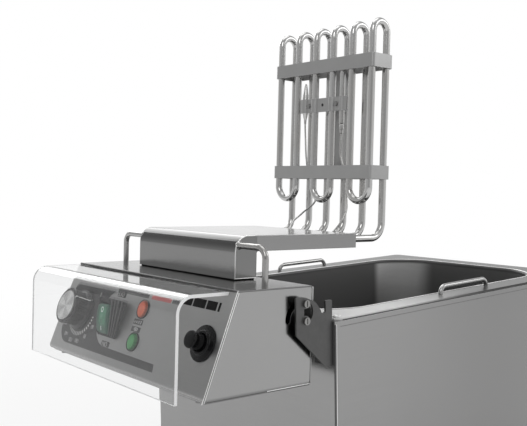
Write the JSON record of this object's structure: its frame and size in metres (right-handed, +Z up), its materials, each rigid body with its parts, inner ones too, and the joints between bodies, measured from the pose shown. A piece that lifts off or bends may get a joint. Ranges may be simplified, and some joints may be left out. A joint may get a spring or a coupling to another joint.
{
  "type": "countertop deep fryer",
  "caption": "Countertop electric deep fryer: steel casing, drop-in oil tank and a tilting control head that carries heating rods, a clear splash guard and a basket hanger.",
  "frame": {"origin": "middle of the footprint at rest, on the bench", "axes": "+X from the control head towards the tank and the fryer's front, +Y away from the side whose bracket the picture shows, +Z up"},
  "size_m": [0.6094, 0.304, 0.537],
  "materials": {
    "casing_steel": "brushed stainless sheet, satin",
    "base_steel": "plain stainless sheet",
    "foot_rubber": "matt black",
    "tank_steel": "pressed stainless, smooth",
    "wire_steel": "polished stainless wire",
    "bracket_steel": "dark plain steel plate",
    "screw_steel": "bright plated",
    "head_steel": "brushed stainless sheet, satin",
    "gland_plastic": "matt black",
    "clear_guard": "clear bent sheet with bright cut edges",
    "arm_steel": "brushed stainless sheet, satin",
    "gasket_rubber": "matt black",
    "rod_metal": "smooth tube, slightly heat-tinted",
    "band_steel": "satin sheet",
    "bulb_metal": "satin drawn tube",
    "capillary_metal": "thin drawn tube",
    "control_body": "matt housing behind the panel",
    "knob_black": "glossy black",
    "knob_metal": "spun face",
    "switch_black": "fine-grained black",
    "rocker_green": "translucent green",
    "reset_black": "glossy black",
    "lens_orange": "translucent orange, ribbed",
    "lens_green": "translucent green, ribbed",
    "bezel_black": "matt black"
  },
  "bodies": {
    "base": {"casing": "casing_steel", "base_plate": "base_steel", "foot_rear_near": "foot_rubber", "foot_rear_far": "foot_rubber", "foot_front_near": "foot_rubber", "foot_front_far": "foot_rubber", "tank": "tank_steel", "tank_handle_near": "wire_steel", "tank_handle_far": "wire_steel", "hinge_bracket_near": "bracket_steel", "hinge_bracket_far": "bracket_steel", "hinge_pin_near": "screw_steel", "hinge_pin_far": "screw_steel", "stop_pin_near": "screw_steel", "stop_pin_far": "screw_steel"},
    "head": {"head_shell": "head_steel", "head_side_near": "head_steel", "head_side_far": "head_steel", "head_back": "head_steel", "cable_gland": "gland_plastic", "splash_guard": "clear_guard", "element_box": "arm_steel", "element_arm": "arm_steel", "arm_end_plate": "arm_steel", "box_gasket": "gasket_rubber", "hanger_near": "wire_steel", "hanger_far": "wire_steel", "heating_rod_far": "rod_metal", "heating_rod_middle": "rod_metal", "heating_rod_near": "rod_metal", "upper_band": "band_steel", "lower_band": "band_steel", "band_strap": "band_steel", "sensor_plate": "band_steel", "sensor_clamp": "band_steel", "sensor_screws": "screw_steel", "limiter_bulb": "bulb_metal", "thermostat_bulb": "bulb_metal", "limiter_capillary": "capillary_metal", "thermostat_capillary": "capillary_metal", "thermostat": "control_body", "limiter": "control_body", "switch_housing": "switch_black", "reset_base": "reset_black", "lamp_orange": "lens_orange", "lamp_green": "lens_green", "bezel_orange": "bezel_black", "bezel_green": "bezel_black"},
    "knob_body": {"knob": "knob_black", "knob_cap": "knob_metal", "knob_spindle": "screw_steel"},
    "rocker_body": {"rocker": "rocker_green"},
    "reset_body": {"reset_button": "reset_black"}
  },
  "joints": [
    {"name": "head_tilt", "type": "hinge", "parent": "base", "child": "head", "pos_m": [-0.1728, 0, 0.237], "axis": [0, 1, 0], "range_deg": [0, 87]},
    {"name": "knob_turn", "type": "hinge", "parent": "head", "child": "knob_body", "pos_m": [-0.26525, 0.096, 0.22638], "axis": [0.9142, 0, -0.4053], "range_deg": [0, 270]},
    {"name": "rocker_tip", "type": "hinge", "parent": "head", "child": "rocker_body", "pos_m": [-0.26982, 0.0325, 0.22841], "axis": [0, 1, 0], "range_deg": [0, 20]},
    {"name": "reset_press", "type": "slide", "parent": "head", "child": "reset_body", "axis": [0.9142, 0, -0.4053], "range_m": [0, 0.003], "stiffness_N_per_m": 400, "springref_m": -0.001}
  ]
}
